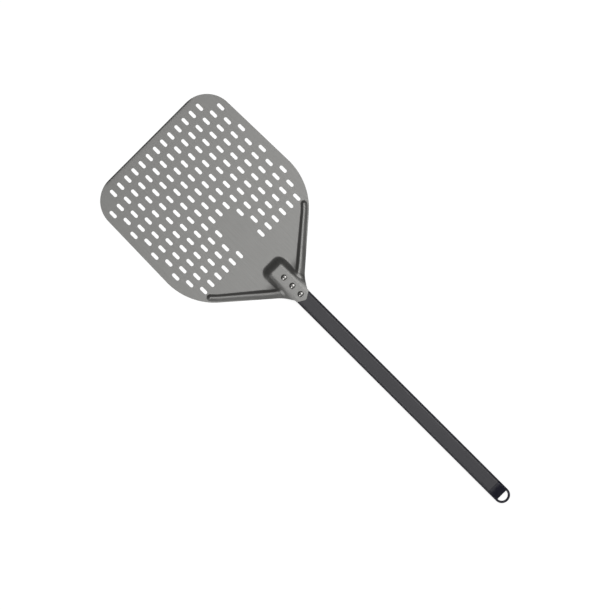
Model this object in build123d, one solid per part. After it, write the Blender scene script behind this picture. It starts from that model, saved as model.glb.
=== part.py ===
from build123d import *
import math
import os

# Perforated pizza peel, lying flat on its underside. Millimetres and degrees.
# +Y runs along the peel towards the blade's front edge, +X across it and +Z up.
# The origin is at the middle of the peel's bounding box, on the surface it lies on.
# A "back" value is a distance behind the blade's front edge.

LENGTH = 1047.6  # front edge of the blade to the end of the hanging loop
BLADE_WIDTH = 355.6  # 14 in, where the blade is widest
SHEET = 1.5  # thickness of the blade's sheet

# Blade outline
SIDE_FLARE = 1.37  # how far each side opens outwards towards the shoulders
FRONT_CORNER_RADIUS = 61.0
SHOULDER_BACK = 236.0  # the widest point
SHOULDER_RADIUS = 137.0
TAPER_ANGLE = 48.9  # between a taper edge and the peel's axis
NECK_ANGLE = 32.7  # between a neck edge and the peel's axis
NECK_RADIUS = 83.0
NECK_BACK = 447.2  # where the neck runs into the tongue
TONGUE_WIDTH = 35.2
TONGUE_BACK = 452.0  # where the tongue's pointed end starts
TONGUE_SLANT = 30.0
TONGUE_RADII = (3.0, 2.0, 5.0)  # neck to tongue, tongue's corner, tongue's point
BEVEL_WIDTH = 2.5  # ground bevel on the front edge
BEVEL_DEPTH = 1.0

# Perforation: staggered rows of slots that lie along the peel
SLOT_LENGTH = 18.3
SLOT_WIDTH = 7.2
COLUMN_PITCH = 20.9
ROW_PITCH = 30.3
FIRST_ROW_BACK = 26.4
# Nearest and furthest slot of each row, in column pitches from the axis
SLOT_ROWS = (
    (0, 6), (0.5, 7.5), (0, 7), (0.5, 7.5), (0, 7),
    (0.5, 7.5), (0, 7), (1.5, 7.5), (2, 7), (1.5, 6.5),
)

# Handle tube
TUBE_WIDTH = 34.0
TUBE_HEIGHT = 15.0
TUBE_WALL = 1.5
TUBE_RADIUS = 7.0
TUBE_FRONT_BACK = 374.0
SEAM_BACK = 1006.0  # where the tube ends and the end cap shows

# Hood: the pressed socket over the tube's front end
HOOD_FOOT_BACK = 356.9
HOOD_TOP_BACK = 369.7
HOOD_FOOT_WIDTH = 55.2  # at the front
HOOD_TOP_WIDTH = 33.4  # at the front
HOOD_WIDENING = 1.3  # each side, from the hood's front to its end
HOOD_FOOT_RADIUS = 12.0
HOOD_TOP_RADIUS = 6.0
HOOD_EDGE_RADIUS = 4.5
HOOD_END_BACK = 465.0  # past the tongue's point, where the outline cuts it off

# Stiffening ribs: raised beads along the taper edges, measured inwards from the edge
RIB_HEIGHT = 4.5
RIB_FOOT = (3.0, 17.5)
RIB_CREST = (8.6, 12.6)
RIB_EDGE_RADIUS = 4.0
RIB_START = -24.0  # along the edge from the end of the shoulder's curve
RIB_LENGTH = 165.0

# Blind rivets
RIVET_BACKS = {"front": 397.6, "middle": 421.8, "rear": 445.8}
RIVET_HEAD_RADIUS = 6.5
RIVET_HEAD_HEIGHT = 2.6
RIVET_RIM = 0.4
RIVET_RADIUS = 3.2
RIVET_HOLE_RADIUS = 3.25
RIVET_BULB_RADIUS = 4.8
RIVET_BULB_LENGTH = 5.5
MANDREL_RADIUS = 1.8
MANDREL_HEAD_RADIUS = 3.1
MANDREL_HEAD_LENGTH = 2.5
MANDREL_RECESS = 0.8  # the broken end, below the top of the head

# End cap with its hanging loop
LOOP_HEIGHT = 6.5
LOOP_LEVEL_BACK = 1034.0  # where the cap has come down to the loop's height
LOOP_FLAT_BACK = 1030.4  # the flat side of the D-shaped hole
LOOP_HOLE_RADIUS = 12.2
LOOP_HOLE_CORNER = 1.2
CAP_EDGE_RADIUS = 3.0
PLUG_LENGTH = 26.0
PLUG_GAP = 0.3  # between the plug's body and the tube, each side
PLUG_WALL = 2.0
PLUG_RADIUS = 5.2
BARB_COUNT = 3
BARB_PITCH = 7.0
BARB_WIDTH = 1.6

TOP = TUBE_HEIGHT + SHEET  # the hood's top face
BELOW = -5.0  # any level under the peel, for cutting
END_RADIUS = TUBE_WIDTH / 2


def tangent(angle):
    return math.tan(math.radians(angle))


def station(back):
    """Y of a place that lies this far behind the front edge."""
    return LENGTH / 2 - back


def slope(rise, run):
    return math.degrees(math.atan2(rise, run))


def inset(depth, angle):
    """How far a bend of this angle moves sideways, this deep in the sheet."""
    return depth * tangent(angle / 2)


# ---------------------------------------------------------------- blade

def shoulder_corner():
    """Where a side and a taper edge would meet without the shoulder's curve."""
    half_turn = math.radians((TAPER_ANGLE + SIDE_FLARE) / 2)
    middle = math.radians((TAPER_ANGLE - SIDE_FLARE) / 2)
    reach = SHOULDER_RADIUS / math.cos(half_turn)
    across = BLADE_WIDTH / 2 - SHOULDER_RADIUS + reach * math.cos(middle)
    return across, SHOULDER_BACK + reach * math.sin(middle)


def blade_face():
    across, back = shoulder_corner()
    tongue = TONGUE_WIDTH / 2
    taper = across + tangent(TAPER_ANGLE) * back
    neck = tongue + tangent(NECK_ANGLE) * NECK_BACK
    neck_back = (taper - neck) / (tangent(TAPER_ANGLE) - tangent(NECK_ANGLE))
    right = [
        (across - tangent(SIDE_FLARE) * back, 0.0),
        (across, back),
        (neck - tangent(NECK_ANGLE) * neck_back, neck_back),
        (tongue, NECK_BACK),
        (tongue, TONGUE_BACK),
    ]
    tip = (0.0, TONGUE_BACK + tangent(TONGUE_SLANT) * tongue)
    left = [(-x, back) for x, back in reversed(right)]
    radii = [FRONT_CORNER_RADIUS, SHOULDER_RADIUS, NECK_RADIUS, *TONGUE_RADII[:2]]
    corners = [(x, station(back)) for x, back in [*right, tip, *left]]
    edge = FilletPolyline(*corners, radius=[*radii, TONGUE_RADII[2], *reversed(radii)], close=True)
    return make_face(edge)


def slot_places():
    """Centre of every slot."""
    places = []
    for row, (nearest, furthest) in enumerate(SLOT_ROWS):
        y = station(FIRST_ROW_BACK + row * ROW_PITCH)
        for step in range(int(furthest - nearest) + 1):
            x = (nearest + step) * COLUMN_PITCH
            places.extend({(x, y), (-x, y)})
    return places


def hood_level(front_back, front_half, radius, height):
    """The hood's outline at one height."""
    end_half = front_half + HOOD_WIDENING
    corners = [
        (end_half, station(HOOD_END_BACK)),
        (front_half, station(front_back)),
        (-front_half, station(front_back)),
        (-end_half, station(HOOD_END_BACK)),
    ]
    edge = FilletPolyline(*corners, radius=[0, radius, radius, 0], close=True)
    return Pos(0, 0, height) * make_face(edge)


def hood(depth):
    """The hood's form, this deep inside the sheet's upper face."""
    foot_half = HOOD_FOOT_WIDTH / 2
    top_half = HOOD_TOP_WIDTH / 2
    front = inset(depth, slope(TUBE_HEIGHT, HOOD_TOP_BACK - HOOD_FOOT_BACK))
    side = inset(depth, slope(TUBE_HEIGHT, foot_half - top_half))
    foot = hood_level(HOOD_FOOT_BACK + front, foot_half - side, HOOD_FOOT_RADIUS - side, SHEET - depth)
    top = hood_level(HOOD_TOP_BACK + front, top_half - side, HOOD_TOP_RADIUS - side, TOP - depth)
    block = loft([foot, top], ruled=True)
    end = station(HOOD_END_BACK)
    rim = [edge for edge in block.faces().sort_by(Axis.Z)[-1].edges() if edge.center().Y > end + SHEET]
    return fillet(rim, HOOD_EDGE_RADIUS - depth)


def rib_level(outer, inner, start, height):
    """A rib's outline at one height, in the axes of the taper edge."""
    end = RIB_START + RIB_LENGTH
    return Pos((start + end) / 2, -(inner + outer) / 2, height) * SlotOverall(end - start, inner - outer)


def rib(depth):
    """The form of the right-hand rib, this deep inside the sheet's upper face."""
    inner_flank = RIB_FOOT[1] - RIB_CREST[1]
    outer = inset(depth, slope(RIB_HEIGHT, RIB_CREST[0] - RIB_FOOT[0]))
    inner = inset(depth, slope(RIB_HEIGHT, inner_flank))
    foot = rib_level(RIB_FOOT[0] + outer, RIB_FOOT[1] - inner, RIB_START + inner, SHEET - depth)
    crest = rib_level(
        RIB_CREST[0] + outer,
        RIB_CREST[1] - inner,
        RIB_START + inner_flank + inner,
        SHEET + RIB_HEIGHT - depth,
    )
    bead = loft([foot, crest], ruled=True)
    bead = fillet(bead.faces().sort_by(Axis.Z)[-1].edges(), RIB_EDGE_RADIUS - depth)
    across, back = shoulder_corner()
    curve = SHOULDER_RADIUS * tangent((TAPER_ANGLE + SIDE_FLARE) / 2)
    sine = math.sin(math.radians(TAPER_ANGLE))
    cosine = math.cos(math.radians(TAPER_ANGLE))
    start = (across - curve * sine, station(back + curve * cosine), 0)
    return Plane(origin=start, x_dir=(-sine, -cosine, 0), z_dir=(0, 0, 1)) * bead


def form(depth):
    """Everything below the sheet's face at this depth."""
    flat = Box(2 * BLADE_WIDTH, 2 * LENGTH, 20, align=(Align.CENTER, Align.CENTER, Align.MAX))
    right_rib = rib(depth)
    return Pos(0, 0, SHEET - depth) * flat + hood(depth) + right_rib + mirror(right_rib, about=Plane.YZ)


def rivet_holes():
    hole = Cylinder(RIVET_HOLE_RADIUS, TUBE_HEIGHT / 2, align=(Align.CENTER, Align.CENTER, Align.MIN))
    return [Pos(0, station(back), TUBE_HEIGHT / 2 + SHEET) * hole for back in RIVET_BACKS.values()]


def front_bevel():
    wedge = Polyline(
        (station(BEVEL_WIDTH), SHEET), (station(0), SHEET - BEVEL_DEPTH), (station(0), SHEET), close=True
    )
    return extrude(Plane.YZ * make_face(wedge), amount=BLADE_WIDTH, both=True)


def make_blade():
    """One pressed sheet: flat field, two ribs and the hood, with a tongue over the tube."""
    trimmed = Pos(0, 0, BELOW) * extrude(blade_face(), amount=TOP - BELOW + 1)
    sheet = (form(0.0) - form(SHEET)) & trimmed
    slot = extrude(SlotOverall(SLOT_LENGTH, SLOT_WIDTH, rotation=90), amount=TOP - BELOW)
    slots = [Pos(x, y, BELOW) * slot for x, y in slot_places()]
    return sheet - slots - rivet_holes() - front_bevel()


# ---------------------------------------------------------------- handle tube

def tube_section(shrink):
    width = TUBE_WIDTH - 2 * shrink
    height = TUBE_HEIGHT - 2 * shrink
    return RectangleRounded(width, height, TUBE_RADIUS - shrink)


def along(section, front_back, end_back):
    """A section of the tube's shape, run along the peel at the tube's height."""
    place = Plane(origin=(0, station(front_back), TUBE_HEIGHT / 2), x_dir=(1, 0, 0), z_dir=(0, -1, 0))
    return extrude(place * section, amount=end_back - front_back)


def make_handle_tube():
    tube = along(tube_section(0), TUBE_FRONT_BACK, SEAM_BACK)
    tube -= along(tube_section(TUBE_WALL), TUBE_FRONT_BACK, SEAM_BACK)
    return tube - rivet_holes()


# ---------------------------------------------------------------- rivets

def turned(outline):
    """A solid turned about the Z axis from a closed outline of radius and height."""
    return revolve(Plane.XZ * make_face(outline), axis=Axis.Z)


def dome_height(radius):
    """Height of a rivet head's crown at this radius."""
    crown = RIVET_HEAD_HEIGHT - RIVET_RIM
    ball = (RIVET_HEAD_RADIUS ** 2 + crown ** 2) / (2 * crown)
    return RIVET_RIM + crown - ball + math.sqrt(ball ** 2 - radius ** 2)


def make_rivet():
    """Dome head, shank through hood and tube, and the bulb set inside the tube."""
    grip = -(SHEET + TUBE_WALL)
    end = grip - RIVET_BULB_LENGTH
    bore = MANDREL_RADIUS
    half = (bore + RIVET_HEAD_RADIUS) / 2
    crown = ThreePointArc(
        (bore, dome_height(bore)), (half, dome_height(half)), (RIVET_HEAD_RADIUS, RIVET_RIM)
    )
    bulb = ThreePointArc(
        (RIVET_RADIUS, grip), (RIVET_BULB_RADIUS, grip - RIVET_BULB_LENGTH / 3), (RIVET_RADIUS, end)
    )
    rim = Polyline(
        (RIVET_HEAD_RADIUS, RIVET_RIM), (RIVET_HEAD_RADIUS, 0), (RIVET_RADIUS, 0), (RIVET_RADIUS, grip)
    )
    bore_wall = Polyline((RIVET_RADIUS, end), (bore, end), (bore, dome_height(bore)))
    return turned([crown, rim, bulb, bore_wall])


def make_mandrel():
    """The pulled and broken pin left inside a rivet."""
    end = -(SHEET + TUBE_WALL + RIVET_BULB_LENGTH)
    top = RIVET_HEAD_HEIGHT - MANDREL_RECESS
    head_end = end - MANDREL_HEAD_LENGTH
    outline = Polyline(
        (0, top),
        (MANDREL_RADIUS / 2, top),
        (MANDREL_RADIUS, top - MANDREL_RADIUS / 2),
        (MANDREL_RADIUS, end),
        (MANDREL_HEAD_RADIUS, end),
        (MANDREL_HEAD_RADIUS, head_end + MANDREL_RADIUS / 2),
        (MANDREL_RADIUS, head_end),
        (0, head_end),
        close=True,
    )
    return turned(outline)


# ---------------------------------------------------------------- end cap

def cap_plan():
    """The cap's outline from above: straight from the seam, round at the end."""
    shoulder = station(LENGTH - END_RADIUS)
    outline = [
        Line((-END_RADIUS, shoulder), (-END_RADIUS, station(SEAM_BACK))),
        Line((-END_RADIUS, station(SEAM_BACK)), (END_RADIUS, station(SEAM_BACK))),
        Line((END_RADIUS, station(SEAM_BACK)), (END_RADIUS, shoulder)),
        ThreePointArc((END_RADIUS, shoulder), (0, station(LENGTH)), (-END_RADIUS, shoulder)),
    ]
    return make_face(outline)


def cap_profile():
    """The cap from the side: full height at the seam, falling to the loop's height."""
    seam = station(SEAM_BACK)
    level = station(LOOP_LEVEL_BACK)
    low = (TUBE_HEIGHT - LOOP_HEIGHT) / 2
    high = TUBE_HEIGHT - low
    fall = Spline((seam, TUBE_HEIGHT), (level, high), tangents=((-1, 0), (-1, 0)))
    rise = Spline((level, low), (seam, 0), tangents=((1, 0), (1, 0)))
    end = Polyline((level, high), (station(LENGTH), high), (station(LENGTH), low), (level, low))
    return Plane.YZ * make_face([fall, end, rise, Line((seam, 0), (seam, TUBE_HEIGHT))])


def loop_hole():
    flat = station(LOOP_FLAT_BACK)
    arc = ThreePointArc((LOOP_HOLE_RADIUS, flat), (0, flat - LOOP_HOLE_RADIUS), (-LOOP_HOLE_RADIUS, flat))
    half_disc = make_face([arc, Line((-LOOP_HOLE_RADIUS, flat), (LOOP_HOLE_RADIUS, flat))])
    return extrude(fillet(half_disc.vertices(), LOOP_HOLE_CORNER), amount=TUBE_HEIGHT)


def make_plug():
    """Hollow plug inside the tube, with barbs that grip its wall."""
    front = SEAM_BACK - PLUG_LENGTH
    plug_width = TUBE_WIDTH - 2 * (TUBE_WALL + PLUG_GAP)
    plug_height = TUBE_HEIGHT - 2 * (TUBE_WALL + PLUG_GAP)
    body = along(RectangleRounded(plug_width, plug_height, PLUG_RADIUS), front, SEAM_BACK)
    for number in range(BARB_COUNT):
        barb_back = front + (number + 0.5) * BARB_PITCH
        body += along(tube_section(TUBE_WALL), barb_back, barb_back + BARB_WIDTH)
    pocket_width = plug_width - 2 * PLUG_WALL
    pocket_height = plug_height - 2 * PLUG_WALL
    pocket = RectangleRounded(pocket_width, pocket_height, PLUG_RADIUS - PLUG_WALL)
    return body - along(pocket, front, SEAM_BACK)


def make_end_cap():
    plan = extrude(cap_plan(), amount=TUBE_HEIGHT)
    cap = plan & extrude(cap_profile(), amount=END_RADIUS, both=True)
    seam_side = cap.edges().filter_by_position(Axis.Y, station(SEAM_BACK) - 0.01, station(SEAM_BACK) + 0.01)
    upright = cap.edges().filter_by(Axis.Z)
    cap = fillet(cap.edges() - seam_side - upright, CAP_EDGE_RADIUS)
    cap &= along(tube_section(0), SEAM_BACK, LENGTH)
    return cap - loop_hole() + make_plug()


def rivet_place(back):
    return Pos(0, station(back), TOP)


os.makedirs("parts", exist_ok=True)

nodes = {
    "blade": make_blade(),
    "handle_tube": make_handle_tube(),
    "end_cap": make_end_cap(),
}
rivet = make_rivet()
mandrel = make_mandrel()
for name, back in RIVET_BACKS.items():
    nodes["rivet_" + name] = rivet_place(back) * rivet
    nodes["rivet_mandrel_" + name] = rivet_place(back) * mandrel

for name, shape in nodes.items():
    export_step(shape, "parts/" + name + ".step")
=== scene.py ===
import cmath
import math

import bpy
import numpy as np
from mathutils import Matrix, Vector
from mathutils.geometry import delaunay_2d_cdt


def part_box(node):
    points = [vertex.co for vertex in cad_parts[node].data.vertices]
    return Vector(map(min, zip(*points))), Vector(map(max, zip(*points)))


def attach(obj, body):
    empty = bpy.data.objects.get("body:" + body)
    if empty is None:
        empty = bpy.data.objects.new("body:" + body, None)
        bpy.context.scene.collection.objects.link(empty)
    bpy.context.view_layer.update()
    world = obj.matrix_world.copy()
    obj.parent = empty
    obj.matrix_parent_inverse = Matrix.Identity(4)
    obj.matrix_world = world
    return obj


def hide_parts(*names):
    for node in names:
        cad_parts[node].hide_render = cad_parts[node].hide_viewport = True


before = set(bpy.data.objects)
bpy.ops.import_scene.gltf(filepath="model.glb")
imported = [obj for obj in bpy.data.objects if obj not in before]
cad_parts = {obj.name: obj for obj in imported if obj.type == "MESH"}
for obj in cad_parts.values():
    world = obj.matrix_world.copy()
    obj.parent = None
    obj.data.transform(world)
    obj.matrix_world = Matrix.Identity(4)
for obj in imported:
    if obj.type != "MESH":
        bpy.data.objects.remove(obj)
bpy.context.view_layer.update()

# A perforated pizza peel on a pale floor, seen from straight above.
# The peel's lengths are in millimetres, and MM takes them into the scene, which is in metres.
# Angles are in degrees. A "back" value is a distance behind the blade's front edge.
MM = 0.001

# Blade
SHEET = 1.5
BLADE_WIDTH = 355.6
SIDE_FLARE = 1.37
FRONT_CORNER_RADIUS = 61.0
SHOULDER_BACK = 236.0
SHOULDER_RADIUS = 137.0
TAPER_ANGLE = 48.9
NECK_ANGLE = 32.7
NECK_RADIUS = 83.0
NECK_BACK = 447.2
TONGUE_WIDTH = 35.2
TONGUE_BACK = 452.0
TONGUE_SLANT = 30.0
TONGUE_RADII = (3.0, 2.0, 5.0)  # neck to tongue, the tongue's corner and its point
BEVEL_WIDTH = 2.5
BEVEL_DEPTH = 1.0
EDGE_ROUNDING = 0.2
EDGE_TURNS = (45.0, 90.0)

# Perforation, with each row's nearest and furthest slot in column pitches from the axis
SLOT_LENGTH = 18.3
SLOT_WIDTH = 7.2
COLUMN_PITCH = 20.9
ROW_PITCH = 30.3
FIRST_ROW_BACK = 26.4
SLOT_ROWS = (
    (0, 6), (0.5, 7.5), (0, 7), (0.5, 7.5), (0, 7),
    (0.5, 7.5), (0, 7), (1.5, 7.5), (2, 7), (1.5, 6.5),
)
HOLE_SEGMENTS = 28

# Hood. It widens from its front to its end, and its flanks fan out past FAN_BACK.
HOOD_FOOT_BACK = 356.9
HOOD_TOP_BACK = 369.7
HOOD_TOP_HALF = 16.7
HOOD_RUN = 10.9
HOOD_WIDENING = 0.0138
HOOD_CORNER = 5.3
HOOD_CORNER_POWER = 2.2
HOOD_BENDS = (0.32, 0.45)  # at the foot and at the top, as shares of the flank
FAN_BACK = 402.0
FAN_RUN = 0.28  # how much the flank's run grows for each millimetre past FAN_BACK

# Ribs, in a taper edge's own axes: along it towards the tongue, and inwards from it.
# A pair is the value at the end of the shoulder's curve and the value RIB_RUN past it.
RIB_NOSE = -17.4
RIB_RUN = 130.0
RIB_CENTRE = (9.9, 10.8)
RIB_BEND_START = 95.0
RIB_BEND_RADIUS = 300.0
RIB_HEIGHT = (4.6, 6.4)
RIB_CLIMB_START = 70.0
RIB_RISE = 2.8
RIB_FLARE = 5.5
RIB_CREST_HALF = (1.4, 1.8)
RIB_INNER_FOOT = (7.8, 10.6)
RIB_OUTER_FOOT = (7.4, 10.4)
RIB_OUTER_BENDS = (0.1, 0.3)  # at the foot and at the crest
RIB_FADE_START = 0.35  # how far up the hood's flank a rib starts to fade out

# Webs, each in the corner between a rib and the hood, and the fillets between all three
WEB_BACK = 389.0
WEB_BEND = 8.0
WEB_SLOPE = 0.24
WEB_RUN = 7.0
WEB_FILLET = 6.0
FILLET = 11.0
FILLET_DEPTH = 5.0  # a fillet is full where both surfaces are this high

# Mesh spacing
EDGE_STEP = 1.4
BEVEL_STEP = 2.0
FINE_STEP = 0.9
COARSE_STEP = 6.0
LEAST_CURVE_STEPS = 4
MARGIN = 0.45
SLOPE_STEP = 0.02
CLOSE = 1e-6
MERGE = 1e-5
KEEP_INSIDE = 1  # Blender's triangulation drops the triangles outside the outline
BLOCK = 2000  # places tested at a time

# Shading normals
CREASE_ANGLE = 40
CREASED_WEIGHT = 60
BLADE_WEIGHT = 50

# Handle tube
TUBE_WALL = 1.5
TUBE_RADIUS = 7.0
TUBE_LIP = 0.3
TUBE_CORNER_SEGMENTS = 12
RIVET_HOLE_RADIUS = 3.25
RIVETS = ("rivet_front", "rivet_middle", "rivet_rear")

# End cap. CAP_FALL is where its fall starts and ends, and a pair after that is at the seam and in
# the loop.
CAP_FALL = (1008.3, 1034.0)
CAP_HALF_HEIGHT = (7.49, 3.0)
CAP_EDGE_RADIUS = (7.0, 2.4)
CAP_EDGE_TURNS = range(9, 91, 9)
CAP_LEAST_HALF = 0.1
CAP_STEP = 0.8
SEAM_FACING = 0.5  # an outward direction that points this far forwards belongs to the seam
LOOP_FLAT_BACK = 1030.4
LOOP_HOLE_RADIUS = 12.2
LOOP_HOLE_CORNER = 1.2
HOLE_EDGE_RADIUS = 2.0
HOLE_ARC_PLACES = 45
HOLE_CORNER_PLACES = 9
HOLE_FLAT_PLACES = 28
PLUG_GAP = 0.3
PLUG_WALL = 2.0
PLUG_OVERLAP = 0.5

# Stage, in metres and watts. A light is its place, what it points at, its size and its power.
FLOOR_HALF = 12.0
FLOOR_DROP = 0.0003
FLOOR_GLOW = 0.8
WORLD_LIGHT = 0.08
WORLD_SEEN = 1.0
LIGHTS = {
    "overhead": ((0.42, -0.04, 2.2), (0.1, -0.04, 0.0), (2.0, 2.1), 17.1),
    "left": ((-1.5, -0.30, 2.1), (0.0, -0.1, 0.0), (0.65, 1.6), 9.5),
    "right": ((1.5, -0.30, 2.1), (0.0, -0.1, 0.0), (0.75, 1.6), 9),
    "low_rear": ((-0.2, -2.4, 0.6), (0.0, 0.0, 0.0), (4.4, 0.7), 13),
    "low_left": ((-3.0, -0.3, 0.35), (0.0, 0.0, 0.0), (2.6, 0.5), 5),
}

# Camera, straight above and turned so that the blade points to the upper left. VIEW_WIDTH is how
# much it sees at the sheet's upper face.
VIEW_WIDTH = 1.2565
CAMERA_TURN = -45.07
AIM = (-0.0095, 0.0559)
LENS = 200.0
SENSOR = 36.0
VIEW_DEPTH = 100.0

# Places from the frame, in metres
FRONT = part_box("blade")[1].y
TUBE_LOW, TUBE_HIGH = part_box("handle_tube")
CAP_LOW, CAP_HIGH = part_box("end_cap")


def tangent(angle):
    return math.tan(math.radians(angle))


def back_of(y):
    """How far behind the front edge a place in the frame is."""
    return (FRONT - y) / MM


# Lengths from the frame, in millimetres
TUBE_HEIGHT = (TUBE_HIGH.z - TUBE_LOW.z) / MM
SEAM_BACK = back_of(TUBE_LOW.y)
CAP_END_BACK = back_of(CAP_LOW.y)
CAP_HALF_WIDTH = (CAP_HIGH.x - CAP_LOW.x) / 2 / MM


# ---------------------------------------------------------------- outlines and holes

def shoulder_corner():
    """Where a side and a taper edge would meet without the shoulder's curve."""
    half_turn = math.radians((TAPER_ANGLE + SIDE_FLARE) / 2)
    middle = math.radians((TAPER_ANGLE - SIDE_FLARE) / 2)
    reach = SHOULDER_RADIUS / math.cos(half_turn)
    across = BLADE_WIDTH / 2 - SHOULDER_RADIUS + reach * math.cos(middle)
    return across, SHOULDER_BACK + reach * math.sin(middle)


def blade_corners():
    """The blade's corners and their radii, anticlockwise from the tongue's point."""
    across, back = shoulder_corner()
    tongue = TONGUE_WIDTH / 2
    taper = across + tangent(TAPER_ANGLE) * back
    neck = tongue + tangent(NECK_ANGLE) * NECK_BACK
    neck_back = (taper - neck) / (tangent(TAPER_ANGLE) - tangent(NECK_ANGLE))
    right = [
        complex(tongue, -TONGUE_BACK),
        complex(tongue, -NECK_BACK),
        complex(neck - tangent(NECK_ANGLE) * neck_back, -neck_back),
        complex(across, -back),
        complex(across - tangent(SIDE_FLARE) * back, 0),
    ]
    radii = [TONGUE_RADII[1], TONGUE_RADII[0], NECK_RADIUS, SHOULDER_RADIUS, FRONT_CORNER_RADIUS]
    tip = complex(0, -TONGUE_BACK - tangent(TONGUE_SLANT) * tongue)
    left = [-corner.conjugate() for corner in reversed(right)]
    return [tip, *right, *left], [TONGUE_RADII[2], *radii, *reversed(radii)]


def rounded_outline(corners, radii, step):
    """Places and outward directions round a polygon with rounded corners, as complex numbers."""
    places = []
    headings = []
    sides = [after - before for before, after in zip(corners, corners[1:] + corners[:1])]
    ways = [side / abs(side) for side in sides]
    turns = [cmath.phase(ways[i] / ways[i - 1]) for i in range(len(corners))]
    cuts = [radius * math.tan(abs(turn) / 2) for radius, turn in zip(radii, turns)]
    next_cuts = cuts[1:] + cuts[:1]
    runs = [abs(side) - before - after for side, before, after in zip(sides, cuts, next_cuts)]
    for i, corner in enumerate(corners):
        side = math.copysign(1, turns[i])
        entry = ways[i - 1]
        centre = corner - entry * cuts[i] + side * 1j * entry * radii[i]
        count = max(LEAST_CURVE_STEPS, math.ceil(radii[i] * abs(turns[i]) / step))
        # Where a curve runs straight into the next one, the place they share is the next one's.
        meets_next = runs[i] < CLOSE
        for k in range(count + 1 - meets_next):
            heading = entry * cmath.exp(1j * turns[i] * k / count)
            places.append(centre - side * 1j * heading * radii[i])
            headings.append(heading)
        start = corner + ways[i] * cuts[i]
        count = math.ceil(runs[i] / step)
        for k in range(1, count):
            places.append(start + ways[i] * runs[i] * k / count)
            headings.append(ways[i])
    return np.array(places), -1j * np.array(headings)


def stadium(centre, length, radius):
    """Places clockwise round a slot that lies along the peel, and the directions into the slot."""
    half = (length / 2 - radius) * 1j
    angles = np.linspace(0, math.pi, HOLE_SEGMENTS // 2 + 1)
    ends = np.concatenate([np.exp(1j * angles), -np.exp(1j * angles)])
    shift = np.repeat([half, -half], len(angles))
    if length == 2 * radius:
        # In a round hole each end's first place is the other's last.
        keep = np.arange(len(ends)) % len(angles) != 0
        ends, shift = ends[keep], shift[keep]
    return (centre + shift + radius * ends)[::-1], -ends[::-1]


def slot_centres():
    centres = set()
    for row, (nearest, furthest) in enumerate(SLOT_ROWS):
        y = -(FIRST_ROW_BACK + row * ROW_PITCH)
        for step in range(int(furthest - nearest) + 1):
            x = (nearest + step) * COLUMN_PITCH
            centres.update({complex(x, y), complex(-x, y)})
    return sorted(centres, key=lambda centre: (centre.imag, centre.real))


def rivet_centres():
    middles = [(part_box(name)[0].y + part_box(name)[1].y) / 2 for name in RIVETS]
    return [complex(0, -back_of(y)) for y in middles]


# ---------------------------------------------------------------- pressed form

def between(pair, share):
    return pair[0] + (pair[1] - pair[0]) * share


def soft_rise(value, bend):
    """0 below 0 and the value above it, with a bend this wide each side."""
    return np.clip(value + bend, 0, 2 * bend) ** 2 / (4 * bend) + np.maximum(value - bend, 0)


def soft_ramp(value, bends):
    """0 below 0 and 1 above 1, straight between, with a bend at the foot and one at the top."""
    return soft_rise(value, bends[0]) - soft_rise(value - 1, bends[1])


def smooth_step(value):
    value = np.clip(value, 0, 1)
    return value * value * (3 - 2 * value)


def smooth_max(first, second, fillet):
    """The larger of two heights, with a fillet where they cross above the field."""
    overlap = np.maximum(fillet - np.abs(first - second), 0)
    depth = smooth_step(np.minimum(first, second) / FILLET_DEPTH)
    return np.maximum(first, second) + depth * overlap ** 2 / (4 * fillet)


def hood_level(across, back):
    """0 at the hood's foot and 1 at its top's edge, rising inwards."""
    top_half = HOOD_TOP_HALF + HOOD_WIDENING * (back - HOOD_TOP_BACK)
    run = HOOD_RUN + FAN_RUN * np.maximum(back - FAN_BACK, 0)
    aside = np.maximum(across - top_half + HOOD_CORNER, 0)
    ahead = (HOOD_TOP_BACK - back) * HOOD_RUN / (HOOD_TOP_BACK - HOOD_FOOT_BACK) + HOOD_CORNER
    ahead = np.maximum(ahead, 0)
    corner = (aside ** HOOD_CORNER_POWER + ahead ** HOOD_CORNER_POWER) ** (1 / HOOD_CORNER_POWER)
    return 1 - (corner - HOOD_CORNER) / run


def rib_axes(across, back):
    """A place in a taper edge's own axes, from where the shoulder's curve ends."""
    corner_across, corner_back = shoulder_corner()
    sine = math.sin(math.radians(TAPER_ANGLE))
    cosine = math.cos(math.radians(TAPER_ANGLE))
    curve = SHOULDER_RADIUS * tangent((TAPER_ANGLE + SIDE_FLARE) / 2)
    right = across - (corner_across - curve * sine)
    rear = back - (corner_back + curve * cosine)
    return rear * cosine - right * sine, -right * cosine - rear * sine


def rib_height(across, back):
    """Height over the field of a rib and of the web between its inner side and the hood."""
    along, inwards = rib_axes(across, back)
    share = np.clip(along / RIB_RUN, 0, 1)
    past = np.maximum(along - RIB_BEND_START, 0)
    curved = np.minimum(along, 0) ** 2 / (2 * SHOULDER_RADIUS) + past ** 2 / (2 * RIB_BEND_RADIUS)
    offset = inwards - between(RIB_CENTRE, share) - curved
    nose = np.maximum(RIB_NOSE - along, 0)
    distance = np.hypot(nose, offset)
    climb = smooth_step((along - RIB_CLIMB_START) / (RIB_RUN - RIB_CLIMB_START))
    crest = between(RIB_CREST_HALF, share)
    outer_run = between(RIB_OUTER_FOOT, share) + RIB_FLARE * climb - crest
    inner = 1 - smooth_step((distance - crest) / (between(RIB_INNER_FOOT, share) - crest))
    outer = soft_ramp(1 - (distance - crest) / outer_run, RIB_OUTER_BENDS)
    outer_share = (1 - offset / np.maximum(distance, CLOSE)) / 2
    rib = (between(RIB_HEIGHT, share) + RIB_RISE * climb) * between((inner, outer), outer_share)
    web = WEB_SLOPE * soft_rise(back - WEB_BACK, WEB_BEND) * smooth_step(offset / WEB_RUN)
    return smooth_max(rib, web, WEB_FILLET)


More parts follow.
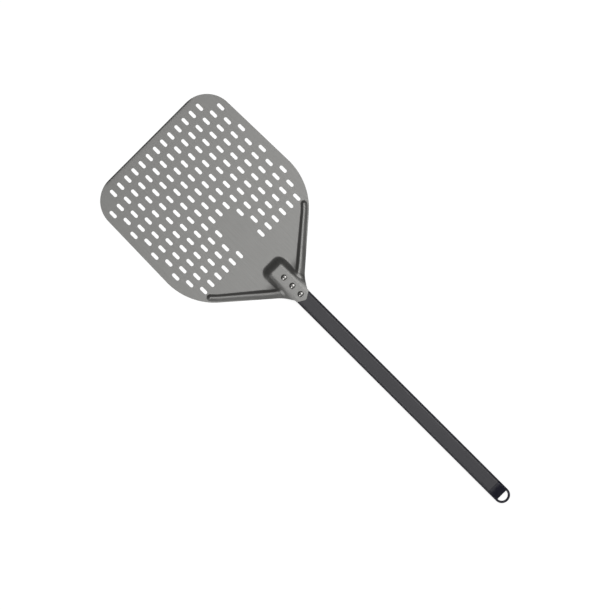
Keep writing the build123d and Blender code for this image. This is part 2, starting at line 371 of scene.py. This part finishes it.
def pressed_height(x, y):
    """Height of the hood and the ribs together. A rib fades out as it climbs the hood's side."""
    level = hood_level(np.abs(x), -y)
    fade = smooth_step((level - RIB_FADE_START) / (1 - RIB_FADE_START))
    rib = rib_height(np.abs(x), -y) * (1 - fade)
    return smooth_max(TUBE_HEIGHT * soft_ramp(level, HOOD_BENDS), rib, FILLET)


def surface(x, y):
    """The sheet's upper face and its normals at these places, in millimetres."""
    height = SHEET + pressed_height(x, y)
    right, left = pressed_height(x + SLOPE_STEP, y), pressed_height(x - SLOPE_STEP, y)
    front, rear = pressed_height(x, y + SLOPE_STEP), pressed_height(x, y - SLOPE_STEP)
    rise_x = (right - left) / (2 * SLOPE_STEP)
    rise_y = (front - rear) / (2 * SLOPE_STEP)
    normals = np.stack([-rise_x, -rise_y, np.ones_like(rise_x)], axis=1)
    normals /= np.linalg.norm(normals, axis=1)[:, None]
    return np.stack([x, y, height], axis=1), normals


# ---------------------------------------------------------------- places and triangles

def grid(step, low, high):
    """Places in staggered rows that fill a rectangle."""
    rise = step * math.sqrt(3) / 2
    rows = np.arange(low.imag, high.imag, rise)
    columns = np.arange(low.real, high.real, step)
    x, y = np.meshgrid(columns, rows)
    x = x + np.where(np.arange(len(rows)) % 2, step / 2, 0)[:, None]
    return (x + 1j * y).ravel()


def pressed_area(places):
    """Whether each place lies on the hood, a rib or close to them."""
    reach = 2 * FINE_STEP
    near = np.zeros(len(places), bool)
    for shift in (0, reach, -reach, 1j * reach, -1j * reach):
        moved = places + shift
        near |= pressed_height(moved.real, moved.imag) > 0
    return near


def clear_of_slots(places, holes, margin):
    clear = np.ones(len(places), bool)
    for centre, length, radius in holes:
        offset = places - centre
        beyond = np.maximum(np.abs(offset.imag) - (length / 2 - radius), 0)
        clear &= np.hypot(offset.real, beyond) > radius + margin
    return clear


def inside(places, outline, margin):
    """Whether each place lies inside a closed outline, at least this far from it."""
    result = np.ones(len(places), bool)
    starts, ends = outline, np.roll(outline, -1)
    way = (ends - starts)[None, :]
    for first in range(0, len(places), BLOCK):
        part = places[first:first + BLOCK, None]
        share = np.clip(((part - starts) * way.conjugate()).real / np.abs(way) ** 2, 0, 1)
        distance = np.abs(part - starts - share * way).min(axis=1)
        winding = np.angle((ends - part) / (starts - part)).sum(axis=1)
        result[first:first + BLOCK] = (np.abs(winding) > math.pi) & (distance > margin)
    return result


def fill_places(outline, holes):
    """Places inside the sheet: close together on the pressed form, far apart on the flat."""
    low = complex(outline.real.min(), outline.imag.min())
    high = complex(outline.real.max(), outline.imag.max())
    fine = grid(FINE_STEP, low, high)
    fine = fine[pressed_area(fine)]
    coarse = grid(COARSE_STEP, low, high)
    coarse = coarse[~pressed_area(coarse)]
    places = np.concatenate([fine, coarse])
    places = places[clear_of_slots(places, holes, EDGE_ROUNDING + MARGIN)]
    places = places[places.imag < -BEVEL_WIDTH - FINE_STEP]
    return places[inside(places, outline, EDGE_ROUNDING + MARGIN)]


def bevel_line():
    """Places along the inner side of the ground bevel."""
    half = BLADE_WIDTH / 2 - FRONT_CORNER_RADIUS
    reach = math.sqrt(FRONT_CORNER_RADIUS ** 2 - (FRONT_CORNER_RADIUS - BEVEL_WIDTH) ** 2)
    across = half + reach - FINE_STEP
    return np.linspace(-across, across, int(2 * across / BEVEL_STEP)) - 1j * BEVEL_WIDTH


def loop_edges(start, count):
    return [(start + k, start + (k + 1) % count) for k in range(count)]


def triangulate(places, edges):
    """Triangles between places, held to these edges, and the index of each edge's first place."""
    points = [Vector((place.real, place.imag)) for place in places]
    made, _, triangles, origins, _, _ = delaunay_2d_cdt(points, edges, [], KEEP_INSIDE, MERGE)
    index = {source: new for new, sources in enumerate(origins) for source in sources}
    flat = np.array([complex(*point) for point in made])
    return flat, np.array(triangles), np.array([index[k] for k in range(len(edges))])


def both_faces(triangles, count):
    """Triangles of the upper face, and of the lower face whose places come after it."""
    faces = [tuple(triangle) for triangle in triangles]
    return faces + [tuple(count + triangle[::-1]) for triangle in triangles]


# ---------------------------------------------------------------- piece meshes

def new_piece(name, vertices, faces):
    mesh = bpy.data.meshes.new(name)
    mesh.from_pydata([tuple(point) for point in vertices], [], faces)
    mesh.validate()
    mesh.shade_smooth()
    piece = bpy.data.objects.new(name, mesh)
    bpy.context.scene.collection.objects.link(piece)
    return piece


def weigh_normals(piece, weight):
    """Weights the shading normals by face area, so that flat faces look flat."""
    weighted = piece.modifiers.new("weighted", "WEIGHTED_NORMAL")
    weighted.weight = weight
    return weighted


def crease(piece):
    """Marks sharp the edges that turn by more than CREASE_ANGLE, and keeps them sharp."""
    piece.data.set_sharp_from_angle(angle=math.radians(CREASE_ANGLE))
    weigh_normals(piece, CREASED_WEIGHT).keep_sharp = True


def ring_faces(ring_count, size):
    """Quads that join closed rings one after another, and the last to the first."""
    faces = []
    for ring in range(ring_count):
        here = ring * size
        there = (ring + 1) % ring_count * size
        for k in range(size):
            after = (k + 1) % size
            faces.append((here + k, here + after, there + after, there + k))
    return faces


# ---------------------------------------------------------------- blade

def edge_rings(face, under, lift, outward):
    """Rings of places from each rim out round its edge, down, and back in to the underside."""
    aside = np.stack([outward.real, outward.imag, np.zeros(len(outward))], axis=1)
    aside -= (aside * lift).sum(axis=1)[:, None] * lift
    aside /= np.linalg.norm(aside, axis=1)[:, None]
    turns = [math.radians(angle) for angle in EDGE_TURNS]
    steps = [(EDGE_ROUNDING * math.sin(turn), EDGE_ROUNDING * (1 - math.cos(turn))) for turn in turns]
    rings = [face + aside * out - lift * down for out, down in steps]
    return rings + [under + aside * out + lift * up for out, up in reversed(steps)]


def blade_holes():
    """The centre, length and end radius of every slot and rivet hole."""
    holes = [(centre, SLOT_LENGTH, SLOT_WIDTH / 2) for centre in slot_centres()]
    return holes + [(centre, 2 * RIVET_HOLE_RADIUS, RIVET_HOLE_RADIUS) for centre in rivet_centres()]


def blade_plan():
    """The sheet's triangles from above, its rims' edges and indices, and their directions outwards."""
    corners, radii = blade_corners()
    holes = blade_holes()
    loops = [rounded_outline(corners, radii, EDGE_STEP)]
    loops += [stadium(*hole) for hole in holes]
    rims = [places - outward * EDGE_ROUNDING for places, outward in loops]
    edges = []
    for rim in rims:
        edges += loop_edges(len(edges), len(rim))
    places = np.concatenate([*rims, bevel_line(), fill_places(loops[0][0], holes)])
    flat, triangles, rim_index = triangulate(places, edges)
    triangles = triangles[clear_of_slots(flat[triangles].mean(axis=1), holes, EDGE_ROUNDING)]
    outward = np.concatenate([directions for _, directions in loops])
    return flat, triangles, edges, rim_index, outward


def blade_mesh():
    """The pressed sheet as one closed mesh, and which of its vertices lie on worn edges."""
    flat, triangles, edges, rim_index, outward = blade_plan()
    face, normals = surface(flat.real, flat.imag)
    under = face - SHEET * normals
    face[:, 2] -= BEVEL_DEPTH * np.clip(1 + flat.imag / BEVEL_WIDTH, 0, 1)
    rings = edge_rings(face[rim_index], under[rim_index], normals[rim_index], outward)

    count = len(flat)
    size = len(edges)
    faces = both_faces(triangles, count)
    levels = [rim_index]
    levels += [2 * count + k * size + np.arange(size) for k in range(len(rings))]
    levels.append(count + rim_index)
    for here, there in edges:
        for upper, lower in zip(levels, levels[1:]):
            faces.append((upper[there], upper[here], lower[here], lower[there]))
    vertices = np.concatenate([face, under, *rings])
    worn = np.zeros(len(vertices), np.float32)
    worn[2 * count:] = 1
    return vertices, faces, worn


def to_scene(vertices):
    """Millimetres from the front edge into metres in the frame, as wide as the blade's box."""
    moved = np.asarray(vertices, float) * MM
    moved[:, 0] *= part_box("blade")[1].x / moved[:, 0].max()
    moved[:, 1] += FRONT
    return moved


def make_blade():
    vertices, faces, worn = blade_mesh()
    blade = new_piece("pressed_blade", to_scene(vertices), faces)
    attribute = blade.data.attributes.new("worn", "FLOAT", "POINT")
    attribute.data.foreach_set("value", worn)
    weigh_normals(blade, BLADE_WEIGHT)
    return blade


# ---------------------------------------------------------------- handle tube

def rounded_section(shrink, y):
    """The tube's section, this far inside its outer face, as points in the frame."""
    half_width = (TUBE_HIGH.x - TUBE_LOW.x) / 2 - shrink * MM
    half_height = (TUBE_HIGH.z - TUBE_LOW.z) / 2 - shrink * MM
    radius = (TUBE_RADIUS - shrink) * MM
    centre_z = (TUBE_HIGH.z + TUBE_LOW.z) / 2
    points = []
    for quarter in range(4):
        side_x = 1 if quarter in (0, 3) else -1
        side_z = 1 if quarter in (0, 1) else -1
        for k in range(TUBE_CORNER_SEGMENTS + 1):
            angle = math.radians(90 * (quarter + k / TUBE_CORNER_SEGMENTS))
            x = side_x * (half_width - radius) + radius * math.cos(angle)
            z = side_z * (half_height - radius) + radius * math.sin(angle)
            points.append((x, y, centre_z + z))
    return points


def hollow_run(stations):
    """Points and faces of a hollow length of the tube's form, from pairs of shrink and place."""
    rings = [rounded_section(shrink, y) for shrink, y in stations]
    points = [point for ring in rings for point in ring]
    return points, ring_faces(len(rings), len(rings[0]))


def make_drill(centre):
    """A round bar through the tube's upper wall, where a rivet goes."""
    y = FRONT + centre.imag * MM
    radius = RIVET_HOLE_RADIUS * MM
    angles = np.linspace(0, 2 * math.pi, HOLE_SEGMENTS, endpoint=False)
    points = []
    for z in ((TUBE_LOW.z + TUBE_HIGH.z) / 2, TUBE_HIGH.z + 2 * TUBE_WALL * MM):
        points += [(radius * math.cos(angle), y + radius * math.sin(angle), z) for angle in angles]
    lower = range(HOLE_SEGMENTS)
    upper = range(HOLE_SEGMENTS, 2 * HOLE_SEGMENTS)
    sides = [
        (here, there, HOLE_SEGMENTS + there, HOLE_SEGMENTS + here)
        for here, there in loop_edges(0, HOLE_SEGMENTS)
    ]
    return new_piece("drill", points, [tuple(reversed(lower)), tuple(upper), *sides])


def drill_rivet_holes(tube):
    """Cuts the rivets' holes through the tube's upper wall."""
    for centre in rivet_centres():
        drill = make_drill(centre)
        cut = tube.modifiers.new("cut", "BOOLEAN")
        cut.operation = "DIFFERENCE"
        cut.object = drill
        bpy.context.view_layer.objects.active = tube
        bpy.ops.object.modifier_apply(modifier=cut.name)
        bpy.data.objects.remove(drill)


def make_tube():
    lip = TUBE_LIP * MM
    tube = new_piece("tube", *hollow_run([
        (TUBE_LIP, TUBE_HIGH.y), (0, TUBE_HIGH.y - lip), (0, TUBE_LOW.y + lip),
        (TUBE_LIP, TUBE_LOW.y), (TUBE_WALL, TUBE_LOW.y), (TUBE_WALL, TUBE_HIGH.y),
    ]))
    drill_rivet_holes(tube)
    crease(tube)
    return tube


# ---------------------------------------------------------------- end cap

def cap_outline():
    """Places anticlockwise round the cap from above, and the directions outwards."""
    corners = [
        complex(-CAP_HALF_WIDTH, -CAP_END_BACK), complex(CAP_HALF_WIDTH, -CAP_END_BACK),
        complex(CAP_HALF_WIDTH, -SEAM_BACK), complex(-CAP_HALF_WIDTH, -SEAM_BACK),
    ]
    radii = [CAP_HALF_WIDTH, CAP_HALF_WIDTH, TUBE_LIP, TUBE_LIP]
    return rounded_outline(corners, radii, CAP_STEP)


def loop_hole():
    """Places clockwise round the D-shaped hole, and the directions into it."""
    inner = LOOP_HOLE_RADIUS - LOOP_HOLE_CORNER
    turn = math.asin(LOOP_HOLE_CORNER / inner)
    corner = inner * cmath.exp(-1j * turn)
    arc = np.exp(1j * np.linspace(turn - math.pi, -turn, HOLE_ARC_PLACES))
    bend = np.exp(1j * np.linspace(-turn, math.pi / 2, HOLE_CORNER_PLACES))[1:]
    flat = np.linspace(corner.real, -corner.real, HOLE_FLAT_PLACES)[1:-1] + 0j
    places = [LOOP_HOLE_RADIUS * arc, corner + LOOP_HOLE_CORNER * bend, flat]
    places.append(-(corner + LOOP_HOLE_CORNER * bend[::-1]).conjugate())
    ways = [arc, bend, np.full(len(flat), 1j), -bend[::-1].conjugate()]
    hole = np.concatenate(places) - 1j * LOOP_FLAT_BACK
    return hole[::-1], -np.concatenate(ways)[::-1]


def from_sides(places):
    """Distance inwards from the cap's sides and round end."""
    beyond = np.maximum(-places.imag - CAP_END_BACK + CAP_HALF_WIDTH, 0)
    return CAP_HALF_WIDTH - np.hypot(places.real, beyond)


def from_hole(places):
    """Distance outwards from the hole."""
    across = np.abs(places.real)
    rear = -places.imag - LOOP_FLAT_BACK
    inner = LOOP_HOLE_RADIUS - LOOP_HOLE_CORNER
    corner = math.sqrt(inner ** 2 - LOOP_HOLE_CORNER ** 2)
    to_flat = LOOP_HOLE_CORNER - rear
    to_arc = np.hypot(across, rear) - inner
    to_corner = np.hypot(across - corner, rear - LOOP_HOLE_CORNER)
    beside = rear * corner > across * LOOP_HOLE_CORNER
    distance = np.where(beside, to_arc, np.where(across < corner, to_flat, to_corner))
    return distance - LOOP_HOLE_CORNER


def edge_radius(back):
    """Radius of the cap's outer edges, which shrinks from the seam to the loop."""
    return between(CAP_EDGE_RADIUS, smooth_step((back - SEAM_BACK) / (LOOP_FLAT_BACK - SEAM_BACK)))


def edge_drop(distance, radius):
    """How far a rounded edge has dropped, this far inwards from its wall."""
    short = np.clip(radius - distance, 0, radius)
    return radius - np.sqrt(radius ** 2 - short ** 2)


def cap_height(places):
    """Height of the cap's upper face over its middle level."""
    back = -places.imag
    share = smooth_step((back - CAP_FALL[0]) / (CAP_FALL[1] - CAP_FALL[0]))
    height = between(CAP_HALF_HEIGHT, share)
    height -= edge_drop(from_sides(places), edge_radius(back))
    height -= edge_drop(from_hole(places), HOLE_EDGE_RADIUS)
    return height - TUBE_LIP * np.clip(1 - (back - SEAM_BACK) / TUBE_LIP, 0, 1)


def cap_fill(outline, hole):
    """Places inside the cap: closely spaced rows along its rounded edges, and a grid between."""
    aside = outline[1].imag < SEAM_FACING
    sides, ways = outline[0][aside], outline[1][aside]
    rows = []
    for angle in CAP_EDGE_TURNS:
        share = 1 - math.cos(math.radians(angle))
        rows.append(sides - ways * share * edge_radius(-sides.imag))
        rows.append(hole[0] - hole[1] * share * HOLE_EDGE_RADIUS)
    low = complex(outline[0].real.min(), outline[0].imag.min())
    middle = grid(CAP_STEP, low, complex(outline[0].real.max(), 0))
    clear = from_sides(middle) > edge_radius(-middle.imag) + MARGIN
    clear &= from_hole(middle) > HOLE_EDGE_RADIUS + MARGIN
    rows.append(middle[clear])
    lip = outline[0].imag.max() - TUBE_LIP
    rows.append(np.arange(-sides.real.max() + CAP_STEP, sides.real.max(), CAP_STEP) + 1j * lip)
    places = np.concatenate(rows)
    places = places[places.imag < lip + CLOSE]
    return places[from_sides(places) > CLOSE]


def cap_mesh():
    """The cap as one closed mesh, the same above and below its middle level."""
    outline, hole = cap_outline(), loop_hole()
    edges = loop_edges(0, len(outline[0]))
    edges += loop_edges(len(outline[0]), len(hole[0]))
    places = np.concatenate([outline[0], hole[0], cap_fill(outline, hole)])
    flat, triangles, rim_index = triangulate(places, edges)
    triangles = triangles[from_hole(flat[triangles].mean(axis=1)) > 0]

    middle = TUBE_HEIGHT / 2
    height = np.maximum(cap_height(flat), CAP_LEAST_HALF)
    upper = np.stack([flat.real, flat.imag, middle + height], axis=1)
    lower = np.stack([flat.real, flat.imag, middle - height], axis=1)
    count = len(flat)
    faces = both_faces(triangles, count)
    for start, end in edges:
        here, there = rim_index[start], rim_index[end]
        faces.append((there, here, count + here, count + there))
    return np.concatenate([upper, lower]), faces


def make_end_cap():
    """The cap with its hollow plug, which starts inside the tube and ends just inside the cap."""
    vertices, faces = cap_mesh()
    points = [tuple(point) for point in vertices * MM + np.array([0, FRONT, 0])]
    front, rear = CAP_HIGH.y, TUBE_LOW.y - PLUG_OVERLAP * MM
    outer = TUBE_WALL + PLUG_GAP
    plug_points, plug_faces = hollow_run([
        (outer + TUBE_LIP, front), (outer, front - TUBE_LIP * MM), (outer, rear),
        (outer + PLUG_WALL, rear), (outer + PLUG_WALL, front),
    ])
    faces += [tuple(len(points) + k for k in face) for face in plug_faces]
    cap = new_piece("cap", points + plug_points, faces)
    crease(cap)
    return cap


# ---------------------------------------------------------------- materials

class Nodes:
    """A material's node tree, with short ways to add and join nodes."""

    def __init__(self, name):
        self.material = bpy.data.materials.new(name)
        self.material.use_nodes = True
        self.tree = self.material.node_tree
        self.shader = self.tree.nodes["Principled BSDF"]
        self.place = self.add("ShaderNodeTexCoord").outputs["Object"]

    def add(self, kind, **values):
        node = self.tree.nodes.new(kind)
        for key, value in values.items():
            setattr(node, key, value)
        return node

    def join(self, output, target):
        self.tree.links.new(output, target)

    def noise(self, scale, detail=3.0, factors=(1, 1, 1), roughness=0.5):
        """Noise of this many features to the metre, times its own factor along each axis."""
        mapping = self.add("ShaderNodeMapping")
        mapping.inputs["Scale"].default_value = factors
        self.join(self.place, mapping.inputs["Vector"])
        noise = self.add("ShaderNodeTexNoise")
        noise.inputs["Scale"].default_value = scale
        noise.inputs["Detail"].default_value = detail
        noise.inputs["Roughness"].default_value = roughness
        self.join(mapping.outputs["Vector"], noise.inputs["Vector"])
        return noise.outputs["Fac"]

    def spread(self, value, low, high, from_low=0.3, from_high=0.7):
        """A value carried from one range to another."""
        mapped = self.add("ShaderNodeMapRange")
        mapped.inputs["From Min"].default_value = from_low
        mapped.inputs["From Max"].default_value = from_high
        mapped.inputs["To Min"].default_value = low
        mapped.inputs["To Max"].default_value = high
        self.join(value, mapped.inputs["Value"])
        return mapped.outputs["Result"]

    def maths(self, operation, first, second):
        node = self.add("ShaderNodeMath", operation=operation)
        self.join(first, node.inputs[0])
        self.join(second, node.inputs[1])
        return node.outputs["Value"]

    def mix(self, share, first, second):
        """A colour between two, each of them a tuple or a node's output."""
        node = self.add("ShaderNodeMix", data_type="RGBA")
        self.join(share, node.inputs["Factor"])
        for socket, colour in ((node.inputs[6], first), (node.inputs[7], second)):
            if isinstance(colour, tuple):
                socket.default_value = (*colour, 1)
            else:
                self.join(colour, socket)
        return node.outputs[2]

    def bump(self, height, distance, strength=1.0, under=None):
        node = self.add("ShaderNodeBump")
        node.inputs["Distance"].default_value = distance
        node.inputs["Strength"].default_value = strength
        self.join(height, node.inputs["Height"])
        if under is not None:
            self.join(under, node.inputs["Normal"])
        return node.outputs["Normal"]

    def finish(self, colour, roughness, normal, **constants):
        self.join(colour, self.shader.inputs["Base Color"])
        self.join(roughness, self.shader.inputs["Roughness"])
        self.join(normal, self.shader.inputs["Normal"])
        # A space in a socket's name is written as an underscore.
        for name, value in constants.items():
            self.shader.inputs[name.replace("_", " ")].default_value = value
        return self.material


def anodised_sheet():
    """Hard-anodised aluminium: satin grey, faint rolling streaks, fine blasted grain, lighter edges."""
    nodes = Nodes("anodised_sheet")
    clouds = nodes.noise(14, detail=4)
    streaks = nodes.noise(60, detail=4, factors=(9, 0.35, 9))
    grain = nodes.noise(2600, detail=2)
    tone = nodes.maths("ADD", nodes.spread(clouds, -0.3, 0.3), nodes.spread(streaks, 0.15, 0.55))
    tone = nodes.maths("ADD", tone, nodes.spread(grain, 0.0, 0.3))
    colour = nodes.mix(tone, (0.275, 0.273, 0.265), (0.34, 0.338, 0.328))
    wear = nodes.add("ShaderNodeAttribute", attribute_name="worn").outputs["Fac"]
    scuffs = nodes.spread(nodes.noise(220, detail=5), 0.15, 0.75, from_low=0.4, from_high=0.6)
    colour = nodes.mix(nodes.maths("MULTIPLY", wear, scuffs), colour, (0.62, 0.61, 0.59))
    roughness = nodes.maths("ADD", nodes.spread(grain, 0.40, 0.50), nodes.spread(clouds, -0.03, 0.03))
    normal = nodes.bump(grain, 0.00003, 0.5)
    normal = nodes.bump(streaks, 0.00001, 0.3, normal)
    return nodes.finish(colour, roughness, normal, Metallic=0.9)


def black_tube():
    """Satin black coat over drawn aluminium: long faint draw lines and a fine orange peel."""
    nodes = Nodes("black_tube")
    lines = nodes.noise(120, detail=3, factors=(8, 0.04, 8))
    peel = nodes.noise(900, detail=2)
    clouds = nodes.noise(20, detail=3)
    colour = nodes.mix(nodes.spread(lines, 0, 1), (0.030, 0.029, 0.036), (0.040, 0.039, 0.047))
    roughness = nodes.maths("ADD", nodes.spread(clouds, 0.29, 0.34), nodes.spread(peel, -0.03, 0.03))
    normal = nodes.bump(peel, 0.00002, 0.4)
    normal = nodes.bump(lines, 0.00001, 0.3, normal)
    return nodes.finish(colour, roughness, normal, Metallic=0.0, IOR=1.5)


def black_plastic():
    """Moulded black plastic with a spark-eroded grain."""
    nodes = Nodes("black_plastic")
    grain = nodes.noise(2200, detail=3, roughness=0.6)
    clouds = nodes.noise(60, detail=3)
    colour = nodes.mix(nodes.spread(clouds, 0, 1), (0.004, 0.004, 0.014), (0.008, 0.008, 0.022))
    roughness = nodes.maths("ADD", nodes.spread(grain, 0.34, 0.44), nodes.spread(clouds, -0.03, 0.03))
    normal = nodes.bump(grain, 0.00004, 0.5)
    return nodes.finish(colour, roughness, normal, Metallic=0.0, IOR=1.5)


def bright_rivet():
    """Polished rivet metal with a faintly cloudy tone and a few fine scuffs."""
    nodes = Nodes("rivet_steel")
    scuffs = nodes.noise(700, detail=5, roughness=0.65)
    tone = nodes.noise(250, detail=3)
    colour = nodes.mix(nodes.spread(tone, 0, 1), (0.45, 0.445, 0.43), (0.54, 0.53, 0.515))
    roughness = nodes.spread(scuffs, 0.19, 0.28)
    normal = nodes.bump(scuffs, 0.00001, 0.15)
    return nodes.finish(colour, roughness, normal, Metallic=1.0)


def dull_mandrel():
    """The torn end of a rivet's pin."""
    nodes = Nodes("mandrel_steel")
    torn = nodes.noise(1800, detail=4, roughness=0.7)
    colour = nodes.mix(nodes.spread(torn, 0, 1), (0.26, 0.255, 0.25), (0.46, 0.45, 0.43))
    roughness = nodes.spread(torn, 0.45, 0.7)
    normal = nodes.bump(torn, 0.0001, 0.8)
    return nodes.finish(colour, roughness, normal, Metallic=1.0)


def pale_floor():
    """Matt pale floor with a glow of its own, which keeps the shadows on it faint."""
    nodes = Nodes("floor")
    mottle = nodes.noise(3, detail=2)
    colour = nodes.mix(nodes.spread(mottle, 0, 1), (0.46, 0.46, 0.46), (0.48, 0.48, 0.48))
    roughness = nodes.spread(mottle, 0.85, 0.95)
    normal = nodes.bump(mottle, 0.0001, 0.1)
    glow = {"Emission_Color": (1, 1, 1, 1), "Emission_Strength": FLOOR_GLOW}
    return nodes.finish(colour, roughness, normal, Metallic=0.0, **glow)


def dress(piece, material):
    piece.data.materials.clear()
    piece.data.materials.append(material)


# ---------------------------------------------------------------- pieces

def place(piece, node, slot):
    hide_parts(node)
    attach(piece, "root")


blade = make_blade()
dress(blade, anodised_sheet())
place(blade, "blade", "anodised_sheet")

tube = make_tube()
dress(tube, black_tube())
place(tube, "handle_tube", "black_tube")

cap = make_end_cap()
dress(cap, black_plastic())
place(cap, "end_cap", "black_plastic")

rivet_material = bright_rivet()
mandrel_material = dull_mandrel()
for name in RIVETS:
    dress(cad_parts[name], rivet_material)
    dress(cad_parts[name.replace("rivet_", "rivet_mandrel_")], mandrel_material)


# ---------------------------------------------------------------- stage

def make_floor():
    corners = [(-1, -1), (1, -1), (1, 1), (-1, 1)]
    points = [(x * FLOOR_HALF, y * FLOOR_HALF, -FLOOR_DROP) for x, y in corners]
    floor = new_piece("floor", points, [(0, 1, 2, 3)])
    dress(floor, pale_floor())
    floor.visible_glossy = False


def area_light(name, place, aim, size, power):
    data = bpy.data.lights.new(name, "AREA")
    data.shape = "RECTANGLE"
    data.size, data.size_y = size
    data.energy = power
    light = bpy.data.objects.new(name, data)
    light.location = place
    light.rotation_euler = (Vector(aim) - Vector(place)).to_track_quat("-Z", "Y").to_euler()
    bpy.context.scene.collection.objects.link(light)


def make_world():
    """Pale to the camera, and dimmer as a light on the object."""
    world = bpy.data.worlds.new("studio")
    world.use_nodes = True
    tree = world.node_tree
    background = tree.nodes["Background"]
    path = tree.nodes.new("ShaderNodeLightPath")
    mixed = tree.nodes.new("ShaderNodeMix")
    mixed.inputs["A"].default_value = WORLD_LIGHT
    mixed.inputs["B"].default_value = WORLD_SEEN
    tree.links.new(path.outputs["Is Camera Ray"], mixed.inputs["Factor"])
    tree.links.new(mixed.outputs["Result"], background.inputs["Strength"])
    background.inputs["Color"].default_value = (1, 1, 1, 1)
    bpy.context.scene.world = world


def make_camera():
    data = bpy.data.cameras.new("camera")
    data.lens = LENS
    data.sensor_width = SENSOR
    data.clip_end = VIEW_DEPTH
    camera = bpy.data.objects.new("camera", data)
    camera.location = (*AIM, VIEW_WIDTH * LENS / SENSOR + SHEET * MM)
    camera.rotation_euler = (0, 0, math.radians(CAMERA_TURN))
    bpy.context.scene.collection.objects.link(camera)
    bpy.context.scene.camera = camera


make_floor()
make_world()
for name, light in LIGHTS.items():
    area_light(name, *light)
make_camera()
bpy.context.scene.view_settings.view_transform = "Standard"
